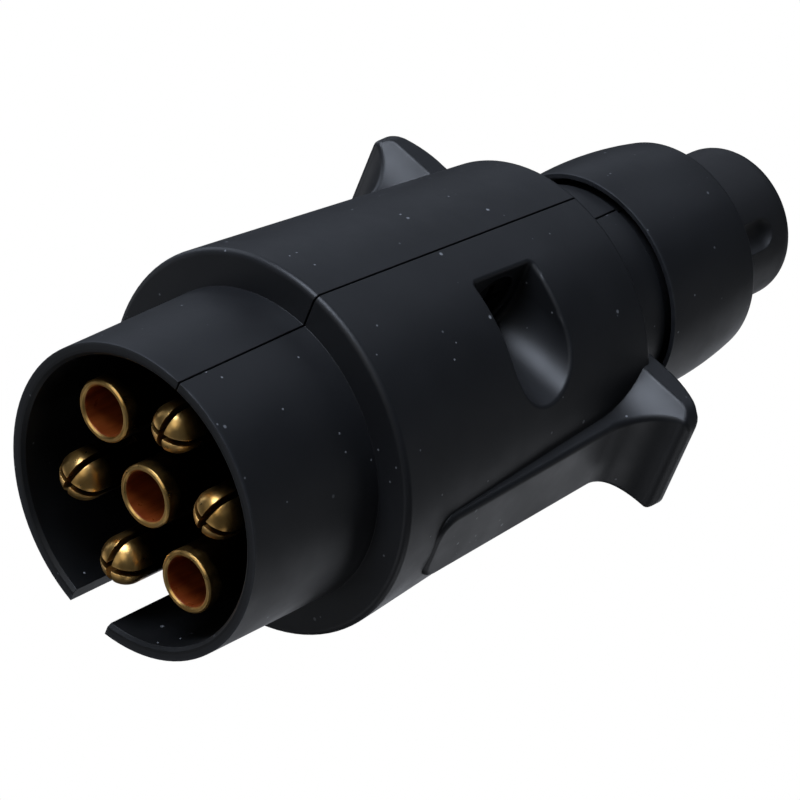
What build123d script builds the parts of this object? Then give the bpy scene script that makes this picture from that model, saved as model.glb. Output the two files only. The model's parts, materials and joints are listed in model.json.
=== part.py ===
"""Seven-pole 12 V trailer plug with grip wings and a screwed cable gland.

Frame: millimetres. The origin is the centre of the mating sleeve's front rim.
+Y runs along the plug towards the cable, +Z is opposite the keyway, and the grip
wings point to +X and -X. The housing is split on the plane X = 0.
"""
import os
from math import cos, hypot, radians, sin

from build123d import *

# ---------------------------------------------------------------- driving dimensions
SLEEVE_R = 18.0            # outside of the mating sleeve
SLEEVE_BORE_R = 16.5
SHOULDER_Y = 19.1          # flat shoulder where the body starts
BODY_FRONT_R = 22.3
BODY_REAR_R = 18.6
BODY_REAR_Y = 63.4
FRONT_EDGE_ROUND = 0.7
REAR_EDGE_ROUND = 0.9
BODY_WALL = 2.2
NECK_R = 12.7
NECK_BORE_R = 8.7
NECK_END_Y = 82.8
NECK_STEP = 0.7            # depth of the dark step under the nut's front edge

KEYWAY_WIDTH = 5.6
KEYWAY_LENGTH = 15.0

CONTACT_CIRCLE_R = 10.1    # six contacts round one centre contact
PIN_R = 2.8
PIN_TIP_Y = 0.3
PIN_SHANK_R = 3.1          # thicker part of a pin, inside the insert
TUBE_R = 3.6
TUBE_TIP_Y = 1.8
TUBE_BORE_R = 2.85
TUBE_BORE_DEPTH = 16.0
CONTACT_END_Y = 38.0

CARRIER_Y = (17.0, 27.0)   # front and back faces of the insulating insert
FLANGE_Y = (20.0, 23.5)    # flange that the two half shells trap
RETAINER_BACK_Y = 29.5
INSERT_R = 16.3
FLANGE_R = 18.5

WING_HALF_HEIGHT = 4.6
WING_TIP_HALF_HEIGHT = 7.7
WING_CORNER_R = 2.6        # rounding of the tip's two corners
WING_FRONT_Y = 25.2
WING_REAR_Y = 64.7

POCKET_Y = 44.9            # screw pockets, one above and one below the axis
POCKET_Z = 14.9
POCKET_R = 4.85
POCKET_FLOOR_X = 5.2
POCKET_WALL = 1.5
POCKET_EDGE_R = 0.5

THREAD_PITCH = 2.5
THREAD_CORE_R = 11.4
THREAD_CREST_R = 12.35
THREAD_START_Y = 75.6
THREAD_TURNS = 2.5

NUT_FRONT_Y = 73.1
NUT_REAR_Y = 88.6
NUT_FRONT_R = 13.85
NUT_BELLY_R = 13.95
NUT_REAR_R = 12.85
NUT_ROOT_R = 12.75         # inside the nut, between the thread ridges
NUT_CREST_R = 11.9
NUT_MOUTH_DEPTH = 1.8      # plain mouth in front of the nut's thread
NUT_SEAT_Y = 86.2          # inner face that pushes the slip ring

BOOT_R = 9.2
BOOT_END_Y = 101.0
BOOT_END_ROUND = 2.7
BOOT_PLUG_Y = 76.0         # front of the plug that seals the neck
BOOT_SCOOP_ANGLES = (51, 171, 291)
BOOT_SCOOP_R = 2.4
BOOT_SCOOP_END_Y = 94.6
CABLE_R = 4.0

CLEARANCE = 0.1            # between parts that are assembled by hand
PARTING_GROOVE = 0.12      # half the width of the line between the shells
PARTING_DEPTH = 0.5

CLAMP_Y = (54.5, 59.5)     # cable clamp saddle
CLAMP_SCREW_Z = 8.0
CLAMP_SCREW_R = 1.3
SADDLE_X = (0.5, 6.5)

HOUSING_SCREW_R = 1.9
HOUSING_HEAD_R = 3.3
NUT_FLAT = 7.0             # across the flats of the housing nuts
RECESS_X = 2.4             # seat of the screw head, from the parting plane
NUT_X = (0.3, 3.0)         # housing nut, sunk in the left shell's parting face
BOSS_R = 6.0               # boss round each housing nut

INSERT_KEY_WIDTH = 4.0
COLLAR_R = 4.2             # contact collar trapped between insert and retainer
COLLAR_Y = (24.0, 26.9)
BARREL_R = 2.9             # wire barrel behind each contact
WIRE_HOLE_R = 1.6
TERMINAL_Y = 34.0
TERMINAL_SCREW_R = 1.2
RETAINER_SCREW_R = 1.3
RETAINER_SCREW_X = 13.2

SLIP_RING_Y = (85.25, 86.1)
BOOT_FLANGE_R = 11.1
WING_EDGE_R = 0.7

HOUSING_SCREW_PLACES = [(POCKET_Y, POCKET_Z), (POCKET_Y, -POCKET_Z)]

PIN_ANGLES = {"top": 0, "upper_right": 60, "bottom": 180, "lower_left": 240}
SOCKET_ANGLES = {"lower_right": 120, "upper_left": 300}
PIN_SLOT_WIDTH = 0.75
PIN_SLOT_DEPTH = 9.0
PIN_SLOT_TURNS = {"top": 6, "upper_right": -8, "bottom": 12, "lower_left": -5}

os.makedirs("parts", exist_ok=True)


def save(part, name):
    """Label a finished piece and write it as one STEP file."""
    part.label = name
    export_step(part, f"parts/{name}.step")


def body_radius(y):
    """Outside radius of the tapered body."""
    share = (y - SHOULDER_Y) / (BODY_REAR_Y - SHOULDER_Y)
    return BODY_FRONT_R + share * (BODY_REAR_R - BODY_FRONT_R)


def on_circle(angle, radius):
    """X and Z of a point at an angle from +Z towards +X."""
    return radius * sin(radians(angle)), radius * cos(radians(angle))


def off_axis(point):
    """Distance of a point from the plug's axis."""
    return hypot(point.X, point.Z)


def half_turn_axis(side):
    """Y axis whose half turn from +Z sweeps through the given side."""
    return Axis((0, 0, 0), (0, side, 0))


# ---------------------------------------------------------------- housing outline
def outer_profile():
    """Outline of the closed housing in the Y-Z plane, above the axis."""
    with BuildSketch(Plane.YZ) as profile:
        with BuildLine():
            Polyline(
                (0, 0),
                (0, SLEEVE_R),
                (SHOULDER_Y, SLEEVE_R),
                (SHOULDER_Y, BODY_FRONT_R),
                (BODY_REAR_Y, BODY_REAR_R),
                (BODY_REAR_Y, NECK_R),
                (NUT_FRONT_Y - 0.4, NECK_R),
                (NUT_FRONT_Y + 0.3, NECK_R - NECK_STEP),
                (NUT_FRONT_Y + 1.9, NECK_R - NECK_STEP),
                (NUT_FRONT_Y + 2.4, THREAD_CORE_R),
                (NECK_END_Y, THREAD_CORE_R),
                (NECK_END_Y, 0),
                close=True,
            )
        make_face()
        # round the front and rear edges of the body
        for radius, edge_round in ((BODY_FRONT_R, FRONT_EDGE_ROUND), (BODY_REAR_R, REAR_EDGE_ROUND)):
            corner = profile.vertices().filter_by(lambda vertex: abs(vertex.Y - radius) < 0.01)
            fillet(corner, edge_round)
    return profile


def cavity_profile():
    """Outline of the hollow inside, above the axis."""
    groove = CLEARANCE
    chamber_start = FLANGE_Y[1] + 1.8
    with BuildSketch(Plane.YZ) as profile:
        with BuildLine():
            Polyline(
                (-1, 0),
                (-1, SLEEVE_BORE_R + 1.4),
                (0.4, SLEEVE_BORE_R),
                (FLANGE_Y[0] - groove, SLEEVE_BORE_R),
                (FLANGE_Y[0] - groove, FLANGE_R + groove),
                (FLANGE_Y[1] + groove, FLANGE_R + groove),
                (FLANGE_Y[1] + groove, SLEEVE_BORE_R),
                (chamber_start, SLEEVE_BORE_R),
                (chamber_start, body_radius(chamber_start) - BODY_WALL),
                (BODY_REAR_Y - BODY_WALL, BODY_REAR_R - BODY_WALL),
                (BODY_REAR_Y, NECK_BORE_R),
                (NECK_END_Y + 1, NECK_BORE_R),
                (NECK_END_Y + 1, 0),
                close=True,
            )
        make_face()
    return profile


def wing(side):
    """Grip wing: a flat pad along the body that flares out to a dished tip."""
    root_x, reach = NECK_R - 0.5, 10.0
    pad_front = (22.0, WING_FRONT_Y)
    pad_rear = (20.6, 54.4)
    flare_end = (24.7, 60.5)
    tip = (25.9, 62.1)
    tip_rear = (24.6, 63.3)
    heel = (18.0, WING_REAR_Y)
    ramp_start, ramp_end = 54.0, 61.8
    front_y, beyond_y = WING_FRONT_Y - 5, WING_REAR_Y + 5

    def on_side(point):
        return point[0] * side, point[1]

    with BuildPart() as blade:
        with BuildSketch(Plane.XY.offset(-reach)):
            with BuildLine():
                Polyline(
                    on_side(heel),
                    (root_x * side, WING_REAR_Y),
                    (root_x * side, WING_FRONT_Y),
                    on_side(pad_front),
                    on_side(pad_rear),
                )
                along_pad = ((pad_rear[0] - pad_front[0]) * side, pad_rear[1] - pad_front[1])
                TangentArc(on_side(pad_rear), on_side(flare_end), tangent=along_pad)
                ThreePointArc(on_side(flare_end), on_side(tip), on_side(tip_rear))
                ThreePointArc(on_side(tip_rear), (21.6 * side, 64.4), on_side(heel))
            make_face()
        extrude(amount=2 * reach)
        with BuildSketch(Plane.YZ.offset((root_x - 1) * side)):
            with BuildLine():
                for sign in (1, -1):
                    low, high = sign * WING_HALF_HEIGHT, sign * WING_TIP_HALF_HEIGHT
                    Line((front_y, low), (ramp_start, low))
                    TangentArc((ramp_start, low), (ramp_end, high), tangent=(1, 0))
                    Line((ramp_end, high), (beyond_y, high))
                for y, height in ((front_y, WING_HALF_HEIGHT), (beyond_y, WING_TIP_HALF_HEIGHT)):
                    Line((y, -height), (y, height))
            make_face()
        extrude(amount=20 * side, mode=Mode.INTERSECT)
        front = blade.edges().filter_by(Axis.X).filter_by_position(Axis.Y, 25, 25.5)
        fillet(front, 2.6)
        # round the tip's corners as seen from behind
        with BuildSketch(Plane.XZ) as blade_back:
            Rectangle(2 * tip[0], 2 * WING_TIP_HALF_HEIGHT)
            fillet(blade_back.vertices(), WING_CORNER_R)
        extrude(amount=-beyond_y, mode=Mode.INTERSECT)
        outside = blade.edges().filter_by(lambda edge: abs(edge.center().X) > 18.4)
        fillet(outside, WING_EDGE_R)
    return blade.part


# ---------------------------------------------------------------- housing halves
def pocket_outline(wall):
    """U-shaped outline of one screw pocket with a given wall round it, open outwards."""
    with BuildSketch(Plane.YZ) as outline:
        for sign in (1, -1):
            with Locations((POCKET_Y, sign * POCKET_Z)):
                Circle(POCKET_R + wall)
            with Locations((POCKET_Y, sign * (POCKET_Z + 6))):
                Rectangle(2 * (POCKET_R + wall), 12)
    return outline.sketch_local


def solid_of(outline, side):
    """Half-turn solid of a profile above the axis, on one side of the parting plane."""
    with BuildPart() as turned:
        add(outline.sketch)
        revolve(axis=half_turn_axis(side), revolution_arc=180)
    return turned.part


def inner_webs(side, closed_body):
    """Pocket walls on the right; nut bosses and the cable clamp's seat on the left."""
    with BuildPart() as webs:
        with BuildSketch(Plane.YZ):
            if side > 0:
                add(pocket_outline(POCKET_WALL))
            else:
                with Locations(*HOUSING_SCREW_PLACES):
                    Circle(BOSS_R)
                with Locations((sum(CLAMP_Y) / 2, 0)):
                    Rectangle(CLAMP_Y[1] - CLAMP_Y[0], 2 * CLAMP_SCREW_Z + 6)
        extrude(amount=30 * side)
        add(closed_body, mode=Mode.INTERSECT)
    return webs.part


def thread_ridge(core_r, crest_r, sunk, start_y, turns, offset):
    """Helical ridge of a screw thread on or in a cylinder about the Y axis."""
    root_half, crest_half = 0.65, 0.25
    with BuildPart() as ridge:
        with BuildLine() as path:
            Helix(
                pitch=THREAD_PITCH,
                height=turns * THREAD_PITCH,
                radius=core_r,
                center=(0, start_y + offset, 0),
                direction=(0, 1, 0),
            )
        start = path.line @ 0
        outward = Vector(start.X, 0, start.Z).normalized()
        with BuildSketch(Plane(origin=start, x_dir=(0, 1, 0), z_dir=outward.cross(Vector(0, 1, 0)))):
            with BuildLine():
                depth = crest_r - core_r
                Polyline(
                    (-root_half, -sunk),
                    (root_half, -sunk),
                    (crest_half, depth),
                    (-crest_half, depth),
                    close=True,
                )
            make_face()
        sweep(is_frenet=True)
    return ridge.part


def parting_groove(side):
    """Thin slot that shows as the line between the shells, above and below."""
    with BuildPart() as groove:
        with BuildSketch(Plane.YZ):
            add(outer_profile().sketch_local)
            offset(amount=-PARTING_DEPTH, mode=Mode.SUBTRACT)
            with Locations((50, 0)):
                Rectangle(120, 2, mode=Mode.SUBTRACT)
        extrude(amount=PARTING_GROOVE * side)
        mirror(about=Plane.XY)
    return groove.part


def housing_half(side, neck_thread):
    """One half shell with its wing, webs, pockets and half of the neck thread."""
    closed_body = solid_of(outer_profile(), side)
    with BuildPart() as shell:
        add(closed_body)
        add(wing(side))
        add(solid_of(cavity_profile(), side), mode=Mode.SUBTRACT)
        add(inner_webs(side, closed_body))
        add(neck_thread)
        with BuildSketch(Plane.YZ):
            with Locations((50, 0)):
                Rectangle(200, 100)
        extrude(amount=-60 * side, mode=Mode.SUBTRACT)
        if side > 0:
            # screw pockets, open outwards, with softened edges
            with BuildSketch(Plane.YZ.offset(POCKET_FLOOR_X)):
                add(pocket_outline(0))
            extrude(amount=30, mode=Mode.SUBTRACT)
            rim = shell.edges(Select.LAST).filter_by(lambda edge: off_axis(edge.center()) > BODY_REAR_R - 1)
            fillet(rim, POCKET_EDGE_R)
            # head recess
            with BuildSketch(Plane.YZ.offset(RECESS_X)):
                with Locations(*HOUSING_SCREW_PLACES):
                    Circle(HOUSING_HEAD_R + 2 * CLEARANCE)
            extrude(amount=5, mode=Mode.SUBTRACT)
        else:
            # nut recess in the parting face
            with BuildSketch(Plane.YZ):
                with Locations(*HOUSING_SCREW_PLACES):
                    RegularPolygon(NUT_FLAT / 2 + CLEARANCE, 6, major_radius=False)
            extrude(amount=-NUT_X[1] - CLEARANCE, mode=Mode.SUBTRACT)
        with BuildSketch(Plane.YZ):
            with Locations(*HOUSING_SCREW_PLACES):
                Circle(HOUSING_SCREW_R + 2 * CLEARANCE)
        extrude(amount=6 * side, mode=Mode.SUBTRACT)
        # keyway in the sleeve and the notch that keys the insert
        with BuildSketch(Plane.XY.offset(-SLEEVE_R - 5)):
            with Locations((0, KEYWAY_LENGTH / 2 - 1)):
                Rectangle(KEYWAY_WIDTH, KEYWAY_LENGTH + 2)
        extrude(amount=10, mode=Mode.SUBTRACT)
        with BuildSketch(Plane.XY.offset(-FLANGE_R - 1)):
            with Locations((0, sum(FLANGE_Y) / 2)):
                Rectangle(INSERT_KEY_WIDTH + 2 * CLEARANCE, FLANGE_Y[1] - FLANGE_Y[0] + 2 * CLEARANCE)
        extrude(amount=2, mode=Mode.SUBTRACT)
        if side < 0:
            # cradle for the cable and pilot holes for the clamp screws
            with BuildSketch(Plane.XZ.offset(-CLAMP_Y[0] + 1)):
                Circle(CABLE_R)
            extrude(amount=-8, mode=Mode.SUBTRACT)
            with BuildSketch(Plane.YZ):
                with Locations(*[(sum(CLAMP_Y) / 2, z) for z in (CLAMP_SCREW_Z, -CLAMP_SCREW_Z)]):
                    Circle(CLAMP_SCREW_R + CLEARANCE / 2)
            extrude(amount=-9, mode=Mode.SUBTRACT)
        add(parting_groove(side), mode=Mode.SUBTRACT)
    return shell.part


# ---------------------------------------------------------------- round pieces
def across(y):
    """Plane across the plug at a given y; a negative extrusion runs towards the cable."""
    return Plane.XZ.offset(-y)


def contact(x, z, tip_y, front_r, shank_r, screw_angle, bore_depth=0.0, slot_turn=None):
    """Turned brass contact: front, shank, collar and wire barrel with its screw hole."""
    with BuildPart() as rod:
        for start, end, radius in (
            (tip_y, CARRIER_Y[0], front_r),
            (CARRIER_Y[0], COLLAR_Y[0], shank_r),
            (COLLAR_Y[0], COLLAR_Y[1], COLLAR_R),
            (COLLAR_Y[1], CONTACT_END_Y, BARREL_R),
        ):
            with BuildSketch(across(start)):
                with Locations((x, z)):
                    Circle(radius)
            extrude(amount=start - end)
        tip_edge = rod.edges().sort_by(Axis.Y)[0]
        if bore_depth:
            chamfer(tip_edge, 0.2)
            with BuildSketch(across(tip_y)):
                with Locations((x, z)):
                    Circle(TUBE_BORE_R)
            extrude(amount=-bore_depth, mode=Mode.SUBTRACT)
            chamfer(rod.edges().group_by(Axis.Y)[0].sort_by(SortBy.RADIUS)[0], 0.25)
        else:
            fillet(tip_edge, front_r - 0.2)
            with BuildSketch(across(tip_y - 1)):
                with Locations(Location((x, z, 0), slot_turn)):
                    Rectangle(PIN_SLOT_WIDTH, 3 * front_r)
                    Rectangle(3 * front_r, PIN_SLOT_WIDTH)
            extrude(amount=-PIN_SLOT_DEPTH - 1, mode=Mode.SUBTRACT)
        with BuildSketch(across(CONTACT_END_Y)):
            with Locations((x, z)):
                Circle(WIRE_HOLE_R)
        extrude(amount=7, mode=Mode.SUBTRACT)
        with BuildSketch(terminal_plane(x, z, screw_angle, 0)):
            Circle(TERMINAL_SCREW_R + CLEARANCE / 2)
        extrude(amount=10, mode=Mode.SUBTRACT)
    return rod.part


def terminal_plane(x, z, angle, height):
    """Plane across a terminal screw that points away from a contact's axis."""
    out_x, out_z = on_circle(angle, 1)
    origin = (x + height * out_x, TERMINAL_Y, z + height * out_z)
    return Plane(origin=origin, x_dir=(0, 1, 0), z_dir=(out_x, 0, out_z))


def screw(seat, head_r, head_height, shank_r, shank_length, slot_count=1):
    """Slotted or cross-slotted cheese-head screw; the shank runs against the seat's normal."""
    with BuildPart() as fastener:
        with BuildSketch(seat):
            Circle(head_r)
        extrude(amount=head_height)
        with BuildSketch(seat):
            Circle(shank_r)
        extrude(amount=-shank_length)
        with BuildSketch(seat.offset(head_height / 2)):
            for turn in range(slot_count):
                with Locations(Location((0, 0, 0), 90 * turn)):
                    Rectangle(head_r * (3 if slot_count == 1 else 1.3), head_r * 0.3)
        extrude(amount=head_height, mode=Mode.SUBTRACT)
    return fastener.part


def group(solids):
    """Identical fasteners as one piece of several separate solids."""
    return Compound(children=solids)


def insert_holes(places, radius, start, end):
    """Cut one hole per place through the insert being built."""
    with BuildSketch(across(start)) as holes:
        with Locations(*places):
            Circle(radius)
    extrude(holes.sketch, amount=start - end, mode=Mode.SUBTRACT)


# ---------------------------------------------------------------- places of the contacts
pins = {name: on_circle(angle, CONTACT_CIRCLE_R) for name, angle in PIN_ANGLES.items()}
sockets = {name: on_circle(angle, CONTACT_CIRCLE_R) for name, angle in SOCKET_ANGLES.items()}
sockets["centre"] = (0, 0)
screw_angles = {"centre": 30, **PIN_ANGLES, **SOCKET_ANGLES}
retainer_screw_places = [(RETAINER_SCREW_X, 0), (-RETAINER_SCREW_X, 0)]

# ---------------------------------------------------------------- housing
neck_thread = thread_ridge(THREAD_CORE_R, THREAD_CREST_R, 0.15, THREAD_START_Y, THREAD_TURNS, 0)
save(housing_half(1, neck_thread), "housing_right")
save(housing_half(-1, neck_thread), "housing_left")

# ---------------------------------------------------------------- insert
with BuildPart() as contact_carrier:
    for start, end, radius in ((*CARRIER_Y, INSERT_R), (*FLANGE_Y, FLANGE_R)):
        with BuildSketch(across(start)):
            Circle(radius)
        extrude(amount=start - end)
    with BuildSketch(across(FLANGE_Y[0])):
        with Locations((0, -FLANGE_R)):
            Rectangle(INSERT_KEY_WIDTH, 1.6)
    extrude(amount=FLANGE_Y[0] - FLANGE_Y[1])
    insert_holes(pins.values(), PIN_SHANK_R + CLEARANCE / 2, CARRIER_Y[0] - 1, CARRIER_Y[1])
    insert_holes(sockets.values(), TUBE_R + CLEARANCE / 2, CARRIER_Y[0] - 1, CARRIER_Y[1])
    all_places = [*pins.values(), *sockets.values()]
    insert_holes(all_places, COLLAR_R + CLEARANCE / 2, COLLAR_Y[0], CARRIER_Y[1])
    insert_holes(retainer_screw_places, RETAINER_SCREW_R + CLEARANCE / 2, 19, CARRIER_Y[1])
save(contact_carrier.part, "contact_carrier")

with BuildPart() as contact_retainer:
    with BuildSketch(across(CARRIER_Y[1])):
        Circle(INSERT_R)
    extrude(amount=CARRIER_Y[1] - RETAINER_BACK_Y)
    insert_holes(all_places, BARREL_R + CLEARANCE / 2, CARRIER_Y[1], RETAINER_BACK_Y)
    insert_holes(retainer_screw_places, RETAINER_SCREW_R + CLEARANCE, CARRIER_Y[1], RETAINER_BACK_Y)
save(contact_retainer.part, "contact_retainer")

retainer_screws = [
    screw(Plane(origin=(x, RETAINER_BACK_Y, z), z_dir=(0, 1, 0)), 2.2, 1.7, RETAINER_SCREW_R, 10, 2)
    for x, z in retainer_screw_places
]
save(group(retainer_screws), "retainer_screws")

# ---------------------------------------------------------------- contacts
for name, (x, z) in pins.items():
    turn = PIN_SLOT_TURNS[name]
    pin = contact(x, z, PIN_TIP_Y, PIN_R, PIN_SHANK_R, screw_angles[name], slot_turn=turn)
    save(pin, f"pin_contact_{name}")
for name, (x, z) in sockets.items():
    tube = contact(x, z, TUBE_TIP_Y, TUBE_R, TUBE_R, screw_angles[name], bore_depth=TUBE_BORE_DEPTH)
    save(tube, f"socket_contact_{name}")

terminal_screws = [
    screw(terminal_plane(x, z, screw_angles[name], BARREL_R + 0.05), 1.8, 1.4, TERMINAL_SCREW_R, 2.3)
    for name, (x, z) in {**pins, **sockets}.items()
]
save(group(terminal_screws), "terminal_screws")

# ---------------------------------------------------------------- housing fasteners
screw_seats = [Plane(origin=(RECESS_X, y, z), z_dir=(1, 0, 0)) for y, z in HOUSING_SCREW_PLACES]
housing_screws = [screw(seat, HOUSING_HEAD_R, 2.4, HOUSING_SCREW_R, 7.4, 2) for seat in screw_seats]
save(group(housing_screws), "housing_screws")

with BuildPart() as housing_nuts:
    with BuildSketch(Plane.YZ.offset(-NUT_X[0])):
        with Locations(*HOUSING_SCREW_PLACES):
            RegularPolygon(NUT_FLAT / 2, 6, major_radius=False)
            Circle(HOUSING_SCREW_R + CLEARANCE / 2, mode=Mode.SUBTRACT)
    extrude(amount=NUT_X[0] - NUT_X[1])
save(housing_nuts.part, "housing_nuts")

# ---------------------------------------------------------------- cable clamp
with BuildPart() as cable_clamp:
    with BuildSketch(across(CLAMP_Y[0])):
        with Locations((sum(SADDLE_X) / 2, 0)):
            RectangleRounded(SADDLE_X[1] - SADDLE_X[0], 2 * CLAMP_SCREW_Z + 6, 1.5)
        Circle(CABLE_R, mode=Mode.SUBTRACT)
    extrude(amount=CLAMP_Y[0] - CLAMP_Y[1])
    with BuildSketch(Plane.YZ):
        with Locations(*[(sum(CLAMP_Y) / 2, z) for z in (CLAMP_SCREW_Z, -CLAMP_SCREW_Z)]):
            Circle(CLAMP_SCREW_R + CLEARANCE)
    extrude(amount=10, mode=Mode.SUBTRACT)
save(cable_clamp.part, "cable_clamp")

clamp_screws = [
    screw(Plane(origin=(SADDLE_X[1], sum(CLAMP_Y) / 2, z), z_dir=(1, 0, 0)), 2.3, 1.7, CLAMP_SCREW_R, 14, 2)
    for z in (CLAMP_SCREW_Z, -CLAMP_SCREW_Z)
]
save(group(clamp_screws), "clamp_screws")

# ---------------------------------------------------------------- cable gland
nut_thread = thread_ridge(NUT_ROOT_R, NUT_CREST_R, 0.15, THREAD_START_Y, THREAD_TURNS, THREAD_PITCH / 2)
with BuildPart() as union_nut:
    with BuildSketch(Plane.YZ):
        with BuildLine():
            belly = ((NUT_FRONT_Y + NUT_REAR_Y) / 2, NUT_BELLY_R)
            ThreePointArc((NUT_FRONT_Y, NUT_FRONT_R), belly, (NUT_REAR_Y, NUT_REAR_R))
            Polyline(
                (NUT_REAR_Y, NUT_REAR_R),
                (NUT_REAR_Y, BOOT_R + 0.4),
                (NUT_SEAT_Y, BOOT_R + 0.4),
                (NUT_SEAT_Y, BOOT_FLANGE_R + 0.5),
                (NECK_END_Y + 0.4, BOOT_FLANGE_R + 0.5),
                (NECK_END_Y + 0.4, NUT_ROOT_R),
                (NUT_FRONT_Y + NUT_MOUTH_DEPTH, NUT_ROOT_R),
                (NUT_FRONT_Y + NUT_MOUTH_DEPTH, NECK_R + 0.4),
                (NUT_FRONT_Y, NECK_R + 0.6),
                (NUT_FRONT_Y, NUT_FRONT_R),
            )
        make_face()
    revolve(axis=Axis.Y)
    fillet(union_nut.edges().group_by(Axis.Y)[-1].sort_by(SortBy.RADIUS)[-1], 0.7)
    add(nut_thread)
save(union_nut.part, "union_nut")

with BuildPart() as slip_ring:
    with BuildSketch(across(SLIP_RING_Y[0])):
        Circle(BOOT_FLANGE_R)
        Circle(BOOT_R + CLEARANCE, mode=Mode.SUBTRACT)
    extrude(amount=SLIP_RING_Y[0] - SLIP_RING_Y[1])
save(slip_ring.part, "slip_ring")

with BuildPart() as cable_boot:
    with BuildSketch(Plane.YZ) as boot_profile:
        with BuildLine():
            Polyline(
                (BOOT_PLUG_Y, CABLE_R),
                (BOOT_PLUG_Y, NECK_BORE_R - 0.3),
                (NECK_END_Y + 0.2, NECK_BORE_R - 0.3),
                (NECK_END_Y + 0.2, BOOT_FLANGE_R),
                (SLIP_RING_Y[0] - 0.05, BOOT_FLANGE_R),
                (SLIP_RING_Y[0] - 0.05, BOOT_R),
                (BOOT_END_Y, BOOT_R - 0.2),
                (BOOT_END_Y, CABLE_R),
                close=True,
            )
        make_face()
        outer_corner = boot_profile.vertices().group_by(Axis.X)[-1].sort_by(Axis.Y)[-1]
        fillet(outer_corner, BOOT_END_ROUND)
    revolve(axis=Axis.Y)
    # finger scoops that start at the nut
    for angle in BOOT_SCOOP_ANGLES:
        x, z = on_circle(angle, BOOT_R + BOOT_SCOOP_R / 2)
        with BuildSketch(across(NUT_REAR_Y - 1)):
            with Locations((x, z)):
                Circle(BOOT_SCOOP_R)
        extrude(amount=NUT_REAR_Y - 1 - BOOT_SCOOP_END_Y, mode=Mode.SUBTRACT)
        with Locations((x, BOOT_SCOOP_END_Y, z)):
            Sphere(BOOT_SCOOP_R, mode=Mode.SUBTRACT)
save(cable_boot.part, "cable_boot")
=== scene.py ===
"""Seven-pole trailer plug with grip wings: materials, light, stage and camera."""
import json
import math

import bpy
from mathutils import Matrix, Vector


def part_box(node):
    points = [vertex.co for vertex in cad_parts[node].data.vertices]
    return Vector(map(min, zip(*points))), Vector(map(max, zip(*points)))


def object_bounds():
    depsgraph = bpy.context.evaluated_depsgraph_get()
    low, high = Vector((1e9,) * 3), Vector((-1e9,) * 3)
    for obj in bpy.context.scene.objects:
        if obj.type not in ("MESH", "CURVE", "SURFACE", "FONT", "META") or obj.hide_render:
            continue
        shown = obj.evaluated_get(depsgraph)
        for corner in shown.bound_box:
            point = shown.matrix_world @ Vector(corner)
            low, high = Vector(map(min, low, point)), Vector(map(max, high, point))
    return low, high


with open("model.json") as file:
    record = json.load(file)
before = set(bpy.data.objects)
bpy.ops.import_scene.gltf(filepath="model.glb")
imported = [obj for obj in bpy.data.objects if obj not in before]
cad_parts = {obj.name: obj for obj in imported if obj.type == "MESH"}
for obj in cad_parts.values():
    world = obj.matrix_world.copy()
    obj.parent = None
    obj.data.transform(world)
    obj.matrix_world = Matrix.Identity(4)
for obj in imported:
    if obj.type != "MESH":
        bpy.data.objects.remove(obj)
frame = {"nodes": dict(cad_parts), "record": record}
cad_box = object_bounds()
scene = bpy.context.scene
nodes = frame["nodes"]

MM = 0.001
NOISE_RANGE = (0.3, 0.7)        # where most of a noise factor lies


# ---------------------------------------------------------------- node helpers
def new_material(name):
    """Empty node material and its Principled shader."""
    material = bpy.data.materials.new(name)
    material.use_nodes = True
    tree = material.node_tree
    return material, tree, tree.nodes["Principled BSDF"]


def add(tree, kind, inputs=None, **settings):
    """Add a node, set its plain settings and its unlinked inputs."""
    node = tree.nodes.new(kind)
    for key, value in settings.items():
        setattr(node, key, value)
    for key, value in (inputs or {}).items():
        node.inputs[key].default_value = value
    return node


def coordinates(tree):
    """Object coordinates: metres in the row frame."""
    return add(tree, "ShaderNodeTexCoord").outputs["Object"]


def position(tree):
    """Object coordinates as separate X, Y and Z outputs."""
    node = add(tree, "ShaderNodeSeparateXYZ")
    tree.links.new(coordinates(tree), node.inputs["Vector"])
    return node.outputs


def noise(tree, scale, detail=3.0, roughness=0.55, stretch=None):
    """Noise factor at a scale in cycles per metre, optionally stretched along an axis."""
    node = add(tree, "ShaderNodeTexNoise", {"Scale": scale, "Detail": detail, "Roughness": roughness})
    source = coordinates(tree)
    if stretch:
        mapping = add(tree, "ShaderNodeMapping", {"Scale": stretch})
        tree.links.new(source, mapping.inputs["Vector"])
        source = mapping.outputs["Vector"]
    tree.links.new(source, node.inputs["Vector"])
    return node.outputs[0]


def remap(tree, source, low_in, high_in, low_out, high_out):
    """Linear map of a factor with clamped ends."""
    node = add(tree, "ShaderNodeMapRange")
    ends = {"From Min": low_in, "From Max": high_in, "To Min": low_out, "To Max": high_out}
    for socket, value in ends.items():
        node.inputs[socket].default_value = value
    tree.links.new(source, node.inputs["Value"])
    return node.outputs["Result"]


def spread(tree, source, low_out, high_out):
    """Noise stretched from its usual range to another one."""
    return remap(tree, source, *NOISE_RANGE, low_out, high_out)


def mix_colour(tree, factor, first, second):
    """Mix of two colours, each a tuple or an output."""
    node = add(tree, "ShaderNodeMix", data_type="RGBA")
    tree.links.new(factor, node.inputs["Factor"])
    for socket, value in (("A", first), ("B", second)):
        target = [s for s in node.inputs if s.name == socket and s.type == "RGBA"][0]
        if isinstance(value, tuple):
            target.default_value = (*value, 1.0)
        else:
            tree.links.new(value, target)
    return [s for s in node.outputs if s.type == "RGBA"][0]


def maths(tree, operation, first, second):
    """Two-input maths node; either side may be a number or an output."""
    node = add(tree, "ShaderNodeMath", operation=operation)
    for index, value in enumerate((first, second)):
        if isinstance(value, (int, float)):
            node.inputs[index].default_value = value
        else:
            tree.links.new(value, node.inputs[index])
    return node.outputs[0]


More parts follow.
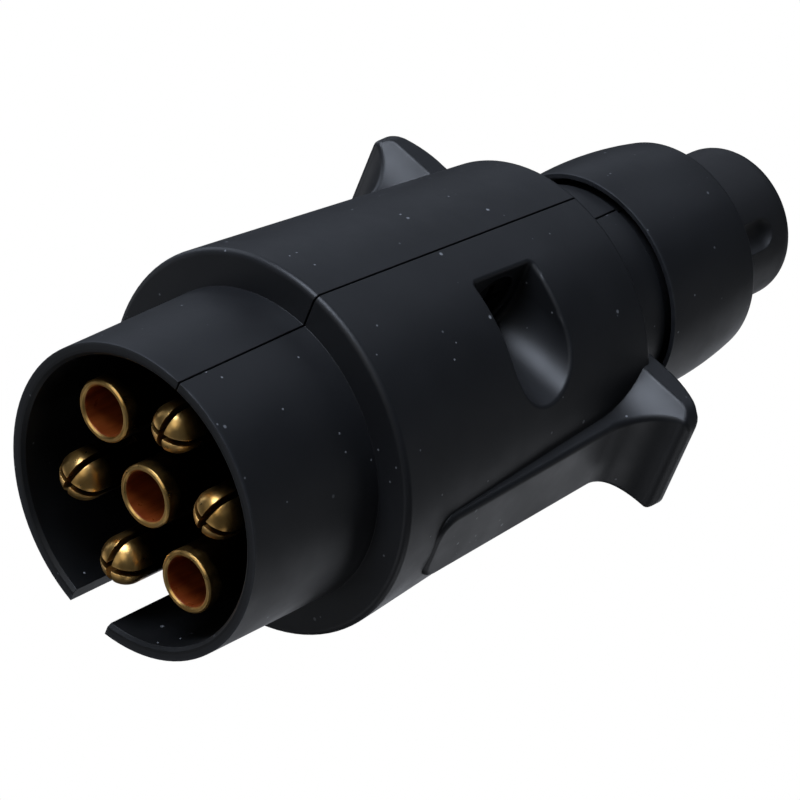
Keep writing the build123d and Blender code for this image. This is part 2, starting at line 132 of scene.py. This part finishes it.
def squared_radius(tree, place, centre_x=0.0, centre_z=0.0):
    """Squared distance from a line along Y."""
    off_x = maths(tree, "SUBTRACT", place["X"], centre_x)
    off_z = maths(tree, "SUBTRACT", place["Z"], centre_z)
    return maths(tree, "ADD", maths(tree, "POWER", off_x, 2), maths(tree, "POWER", off_z, 2))


def rounded(tree, radius):
    """Normal that rounds sharp edges over a radius."""
    return add(tree, "ShaderNodeBevel", {"Radius": radius}, samples=6).outputs["Normal"]


def bump(tree, height, strength, distance, normal=None):
    """Bump from a height factor, over another normal if one is given."""
    node = add(tree, "ShaderNodeBump", {"Strength": strength, "Distance": distance})
    tree.links.new(height, node.inputs["Height"])
    if normal:
        tree.links.new(normal, node.inputs["Normal"])
    return node.outputs["Normal"]


def dust(tree, density_scale, size, share):
    """Sparse specks of dust: small dots at random cells, as a factor."""
    cells = add(tree, "ShaderNodeTexVoronoi", {"Scale": density_scale, "Randomness": 1.0})
    tree.links.new(coordinates(tree), cells.inputs["Vector"])
    dot = remap(tree, cells.outputs["Distance"], size * 0.6, size, 1.0, 0.0)
    split = add(tree, "ShaderNodeSeparateColor")
    tree.links.new(cells.outputs["Color"], split.inputs["Color"])
    chosen = maths(tree, "LESS_THAN", split.outputs[0], share)
    strength = remap(tree, split.outputs[1], 0.0, 1.0, 0.35, 1.0)
    return maths(tree, "MULTIPLY", maths(tree, "MULTIPLY", dot, chosen), strength)


# ---------------------------------------------------------------- materials
BLACK = (0.0105, 0.0110, 0.0125)
SLEEVE_PAINTED_SHADE = (0.0030, 0.0034, 0.0040)       # painted shade on the walls round the contacts
# edge colour: partly real wear, partly a painted highlight on the rounded edges
WEAR_AND_HIGHLIGHT_BLACK = (0.036, 0.038, 0.043)
INSERT_BLACK = (0.008, 0.008, 0.009)
RUBBER_BLACK = (0.012, 0.012, 0.013)
DUST_GREY = (0.27, 0.28, 0.30)
RUBBER_DUST = (0.28, 0.29, 0.30)
BRASS = (1.0, 0.63, 0.22)
BRASS_TARNISH = (0.82, 0.45, 0.12)
# brown tarnish, also painted shade on the contact shafts and in the pin slots
TARNISH_AND_SHADE_BROWN = (0.035, 0.016, 0.008)

# pairs: clean and tarnished metal, or the two ends of an uneven tone
# housing screws: dark steel as painted shade in their pockets, darker than their zinc plating
SCREW_PAINTED_SHADE = ((0.030, 0.030, 0.032), (0.018, 0.017, 0.017))
ZINC = ((0.50, 0.51, 0.53), (0.36, 0.36, 0.38))
SCREW_BRASS = ((0.80, 0.60, 0.30), (0.66, 0.46, 0.20))
COPPER_TONES = ((0.22, 0.034, 0.007), (0.46, 0.105, 0.020))
NYLON = ((0.55, 0.54, 0.50), (0.68, 0.67, 0.62))

EDGE_WEAR_AND_HIGHLIGHT_REACH = 0.6 * MM
SEAM_KEPT_CLEAR = (0.6 * MM, 1.4 * MM)      # from the parting line: none of the wear and painted highlight, then all of it
SLEEVE_INSIDE_R = 17.2 * MM
SLEEVE_FLOOR_Y = 17.5 * MM
MOULD_EDGE_R = 0.12 * MM
RUBBER_EDGE_R = 0.25 * MM
METAL_EDGE_R = 0.1 * MM
RING_STRENGTH = 0.12                        # bump of the rings that the lathe leaves
FILM_AND_SHADE_COVER = 0.97
RAGGED = 0.4 * MM                           # how far the border of the film and its painted shade wanders
PIN_FILM_AND_SHADE = (2.2 * MM, 4.0 * MM)             # where the tarnish film with painted shade starts and is full, from a pin's tip
TUBE_FILM_AND_SHADE = (0.5 * MM, 1.8 * MM)            # the same from a tube's mouth
SLOT_SHADE = 1.2 * MM
BORE_EDGE_R = 2.9 * MM


def edge_wear_and_highlight(tree, place):
    """Wear and a painted highlight on convex edges, where rays cast inwards soon come out; none
    beside the parting line.
    """
    inward = add(tree, "ShaderNodeAmbientOcclusion", {"Distance": EDGE_WEAR_AND_HIGHLIGHT_REACH}, samples=8)
    inward.inside = True
    inward.only_local = True
    convex_share = remap(tree, inward.outputs["AO"], 0.55, 0.85, 1.0, 0.0)
    patchy = remap(tree, noise(tree, 800, 3), 0.35, 0.65, 0.6, 1.0)
    aside = maths(tree, "ABSOLUTE", place["X"], 0.0)
    off_seam = remap(tree, aside, *SEAM_KEPT_CLEAR, 0.0, 1.0)
    return maths(tree, "MULTIPLY", maths(tree, "MULTIPLY", convex_share, patchy), off_seam)


def inside_sleeve(tree, place):
    """1 on the walls round the contacts, where the painted shade goes; 0 elsewhere."""
    within = maths(tree, "LESS_THAN", squared_radius(tree, place), SLEEVE_INSIDE_R ** 2)
    forward = maths(tree, "LESS_THAN", place["Y"], SLEEVE_FLOOR_Y)
    return maths(tree, "MULTIPLY", within, forward)


def black_plastic(name, base, roughness=(0.40, 0.50), used=True):
    """Satin black moulding: fine spark-eroded grain and soft flow marks; if used, dust, edges lighter
    from wear and a painted highlight, and painted shade on the walls round the contacts.
    """
    material, tree, shader = new_material(name)
    place = position(tree)
    tone = spread(tree, noise(tree, 60, 2), 0.0, 1.0)
    lighter = tuple(channel * 1.35 for channel in base)
    colour = mix_colour(tree, tone, base, lighter)
    if used:
        # edges lighter: partly real wear, partly a painted highlight on the rounded edges
        colour = mix_colour(tree, edge_wear_and_highlight(tree, place), colour, WEAR_AND_HIGHLIGHT_BLACK)
        # painted shade: the walls round the contacts are darkened
        colour = mix_colour(tree, inside_sleeve(tree, place), colour, SLEEVE_PAINTED_SHADE)
        large = dust(tree, density_scale=330, size=0.085, share=0.24)
        small = dust(tree, density_scale=700, size=0.110, share=0.22)
        colour = mix_colour(tree, maths(tree, "MAXIMUM", large, small), colour, DUST_GREY)
    tree.links.new(colour, shader.inputs["Base Color"])
    polish = spread(tree, noise(tree, 180, 4), *roughness)
    tree.links.new(polish, shader.inputs["Roughness"])
    flow = bump(tree, noise(tree, 120, 2), 0.06, 0.05 * MM, rounded(tree, MOULD_EDGE_R))
    grain = bump(tree, noise(tree, 9000, 2), 0.25, 0.02 * MM, flow)
    tree.links.new(grain, shader.inputs["Normal"])
    return material


def rubber(name, base):
    """Matt black rubber with a slightly uneven skin."""
    material, tree, shader = new_material(name)
    tone = spread(tree, noise(tree, 90, 3), 0.0, 1.0)
    lighter = tuple(channel * 1.5 for channel in base)
    colour = mix_colour(tree, tone, base, lighter)
    specks = dust(tree, density_scale=260, size=0.05, share=0.05)
    colour = mix_colour(tree, specks, colour, RUBBER_DUST)
    tree.links.new(colour, shader.inputs["Base Color"])
    tree.links.new(spread(tree, noise(tree, 240, 3), 0.5, 0.62), shader.inputs["Roughness"])
    skin = bump(tree, noise(tree, 5200, 3), 0.3, 0.03 * MM, rounded(tree, RUBBER_EDGE_R))
    tree.links.new(skin, shader.inputs["Normal"])
    return material


def turned_metal(name, base, deep, roughness=(0.26, 0.40)):
    """Turned metal: fine rings from the lathe, slight tarnish and uneven polish."""
    material, tree, shader = new_material(name)
    tarnish = remap(tree, noise(tree, 420, 4), 0.35, 0.75, 0.0, 1.0)
    tree.links.new(mix_colour(tree, tarnish, base, deep), shader.inputs["Base Color"])
    shader.inputs["Metallic"].default_value = 1.0
    polish = noise(tree, 700, 3)
    tree.links.new(spread(tree, polish, *roughness), shader.inputs["Roughness"])
    rings = noise(tree, 1500, 2, stretch=(0.15, 8.0, 0.15))
    turned = bump(tree, rings, RING_STRENGTH, 0.02 * MM, rounded(tree, METAL_EDGE_R))
    tree.links.new(turned, shader.inputs["Normal"])
    return material


def contact_brass(name, low_corner, high_corner, hollow):
    """Brass of one contact: bright where it mates; further in, brown from tarnish and painted shade,
    and dull.
    """
    material = turned_metal(name, BRASS, BRASS_TARNISH)
    tree = material.node_tree
    shader = tree.nodes["Principled BSDF"]
    place = position(tree)

    # brown tarnish film behind the polished tip, darkened further as painted shade on the shafts,
    # with a ragged border
    start, full = TUBE_FILM_AND_SHADE if hollow else PIN_FILM_AND_SHADE
    ragged = spread(tree, noise(tree, 500, 3), -RAGGED, RAGGED)
    depth = maths(tree, "ADD", place["Y"], ragged)
    film_and_shade = remap(tree, depth, low_corner.y + start, low_corner.y + full, 0.0, FILM_AND_SHADE_COVER)
    polished = shader.inputs["Base Color"].links[0].from_socket
    contact_colour = mix_colour(tree, film_and_shade, polished, TARNISH_AND_SHADE_BROWN)

    if hollow:
        # coppery, dull bore with streaks along it
        axis = (low_corner + high_corner) / 2
        squared = squared_radius(tree, place, axis.x, axis.z)
        inside = maths(tree, "LESS_THAN", squared, BORE_EDGE_R ** 2)
        streaks = spread(tree, noise(tree, 900, 3, stretch=(1.0, 0.12, 1.0)), 0.0, 1.0)
        contact_colour = mix_colour(tree, inside, contact_colour, mix_colour(tree, streaks, *COPPER_TONES))
        tree.links.new(remap(tree, inside, 0.0, 1.0, 1.0, 0.35), shader.inputs["Metallic"])
    else:
        # painted shade: the cross slots of a pin are darkened to brown where rays soon meet the slot
        # walls
        crevice = add(tree, "ShaderNodeAmbientOcclusion", {"Distance": SLOT_SHADE}, samples=8)
        open_share = remap(tree, crevice.outputs["AO"], 0.15, 0.75, 0.0, 1.0)
        contact_colour = mix_colour(tree, open_share, TARNISH_AND_SHADE_BROWN, contact_colour)
    tree.links.new(contact_colour, shader.inputs["Base Color"])
    return material


def nylon(name):
    """Natural off-white nylon of the slip ring."""
    material, tree, shader = new_material(name)
    tone = spread(tree, noise(tree, 300, 3), 0.0, 1.0)
    tree.links.new(mix_colour(tree, tone, *NYLON), shader.inputs["Base Color"])
    tree.links.new(spread(tree, noise(tree, 600, 2), 0.4, 0.55), shader.inputs["Roughness"])
    return material


finishes = {
    "black_plastic": black_plastic("satin_black_moulding", BLACK),
    "insert_plastic": black_plastic("insert_moulding", INSERT_BLACK, (0.5, 0.6), used=False),
    "boot_rubber": rubber("boot_rubber", RUBBER_BLACK),
    "screw_brass": turned_metal("screw_brass", *SCREW_BRASS),
    "zinc_steel": turned_metal("zinc_plated_steel", *ZINC, (0.28, 0.42)),
    "slip_plastic": nylon("natural_nylon"),
    "painted_shade_steel": turned_metal("painted_shade_steel", *SCREW_PAINTED_SHADE, (0.45, 0.60)),
}

for entry in frame["record"]["subparts"]:
    node = nodes[entry["node"]]
    node.data.materials.clear()
    # painted shade: the housing screws get dark steel, darker than their zinc plating
    if entry["node"] == "housing_screws":
        finish = finishes["painted_shade_steel"]
    elif entry["material_slot"] == "contact_brass":
        hollow = entry["node"].startswith("socket_")
        finish = contact_brass(entry["node"] + "_brass", *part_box(entry["node"]), hollow)
    else:
        finish = finishes[entry["material_slot"]]
    node.data.materials.append(finish)


# ---------------------------------------------------------------- stage
def glowing(name, strength):
    """Plain white surface that glows evenly."""
    material, _, shader = new_material(name)
    shader.inputs["Base Color"].default_value = (0.0, 0.0, 0.0, 1.0)
    shader.inputs["Specular IOR Level"].default_value = 0.0
    shader.inputs["Emission Color"].default_value = (1.0, 1.0, 1.0, 1.0)
    shader.inputs["Emission Strength"].default_value = strength
    return material


def put_on_stage(piece, name, material):
    """Name a stage surface; only the camera sees it, so it lights nothing."""
    piece.name = name
    piece.data.materials.append(material)
    for ray in ("visible_diffuse", "visible_glossy", "visible_transmission", "visible_shadow"):
        setattr(piece, ray, False)


FLOOR_SIDE = 6.0
BACKDROP_R = 3.0
FILL_COLOUR = (0.80, 0.88, 1.0, 1.0)
FILL_STRENGTH = 0.04
low, high = cad_box
bpy.ops.mesh.primitive_plane_add(size=FLOOR_SIDE, location=(0, 0, low.z))
put_on_stage(bpy.context.object, "floor", glowing("pale_floor", 1.0))
bpy.ops.mesh.primitive_uv_sphere_add(radius=BACKDROP_R, segments=64, ring_count=32)
put_on_stage(bpy.context.object, "backdrop", glowing("pale_backdrop", 1.0))

world = bpy.data.worlds.new("studio")
scene.world = world
world.use_nodes = True
background = world.node_tree.nodes["Background"]
background.inputs["Color"].default_value = FILL_COLOUR
background.inputs["Strength"].default_value = FILL_STRENGTH


# ---------------------------------------------------------------- light
SKY = (0.77, 0.85, 1.0)
TABLE = (0.90, 0.93, 1.0)
LAMP = (1.0, 0.98, 0.94)
LIGHT_DISTANCE = 0.70
SOFTBOXES = (
    # name, direction seen from the plug, side in metres, watts, colour
    ("top_key", (-0.38, -0.30, 0.88), 0.40, 4.4, SKY),
    ("rear_sky", (-0.20, 0.75, 0.65), 0.40, 0.24, SKY),
    ("rear_left", (-0.70, 0.70, 0.20), 0.40, 0.18, SKY),
    ("left_side", (-1.00, 0.10, 0.10), 0.50, 1.00, SKY),
    ("rear_right", (0.75, 0.65, 0.10), 0.40, 0.10, TABLE),
    ("right_table", (0.75, -0.10, -0.65), 0.40, 0.38, TABLE),
    ("rear_right_table", (0.50, 0.65, -0.55), 0.40, 0.30, TABLE),
    ("rear_table", (-0.10, 0.75, -0.65), 0.40, 0.40, TABLE),
    ("left_table", (-0.70, -0.30, -0.65), 0.40, 0.27, TABLE),
    ("front_table", (0.10, -0.75, -0.65), 0.40, 0.25, TABLE),
    ("front_high", (0.05, -0.78, 0.62), 0.30, 0.25, LAMP),
    ("front_low", (-0.15, -0.98, 0.10), 0.30, 0.12, LAMP),
)


def softbox(name, direction, side, watts, colour):
    """Square area light that faces the middle of the plug."""
    data = bpy.data.lights.new(name, "AREA")
    data.size = side
    data.energy = watts
    data.color = colour
    lamp = bpy.data.objects.new(name, data)
    towards = Vector(direction).normalized()
    lamp.location = (low + high) / 2 + towards * LIGHT_DISTANCE
    lamp.rotation_mode = "QUATERNION"
    lamp.rotation_quaternion = towards.to_track_quat("Z", "Y")
    lamp.visible_camera = False
    scene.collection.objects.link(lamp)


for settings in SOFTBOXES:
    softbox(*settings)


# ---------------------------------------------------------------- camera
AZIMUTH, ELEVATION, ROLL = math.radians(29.62), math.radians(39.98), math.radians(22.96)
SENSOR_WIDTH = 36.0
LENS = 282.0
CLIP_START, CLIP_END = 0.01, 20.0
DISTANCE = 0.693
TARGET = Vector((2.1, 40.7, -1.2)) * MM

back = Vector((
    math.sin(AZIMUTH) * math.cos(ELEVATION),
    -math.cos(AZIMUTH) * math.cos(ELEVATION),
    math.sin(ELEVATION),
))
level_right = Vector((math.cos(AZIMUTH), math.sin(AZIMUTH), 0.0))
level_up = back.cross(level_right)
right = math.cos(ROLL) * level_right + math.sin(ROLL) * level_up
up = back.cross(right)

camera_data = bpy.data.cameras.new("camera")
camera_data.sensor_width = SENSOR_WIDTH
camera_data.lens = LENS
camera_data.clip_start = CLIP_START
camera_data.clip_end = CLIP_END
camera = bpy.data.objects.new("camera", camera_data)
turn = Matrix((right, up, back)).transposed().to_4x4()
camera.matrix_world = Matrix.Translation(TARGET + back * DISTANCE) @ turn
scene.collection.objects.link(camera)
scene.camera = camera
scene.view_settings.view_transform = "Standard"
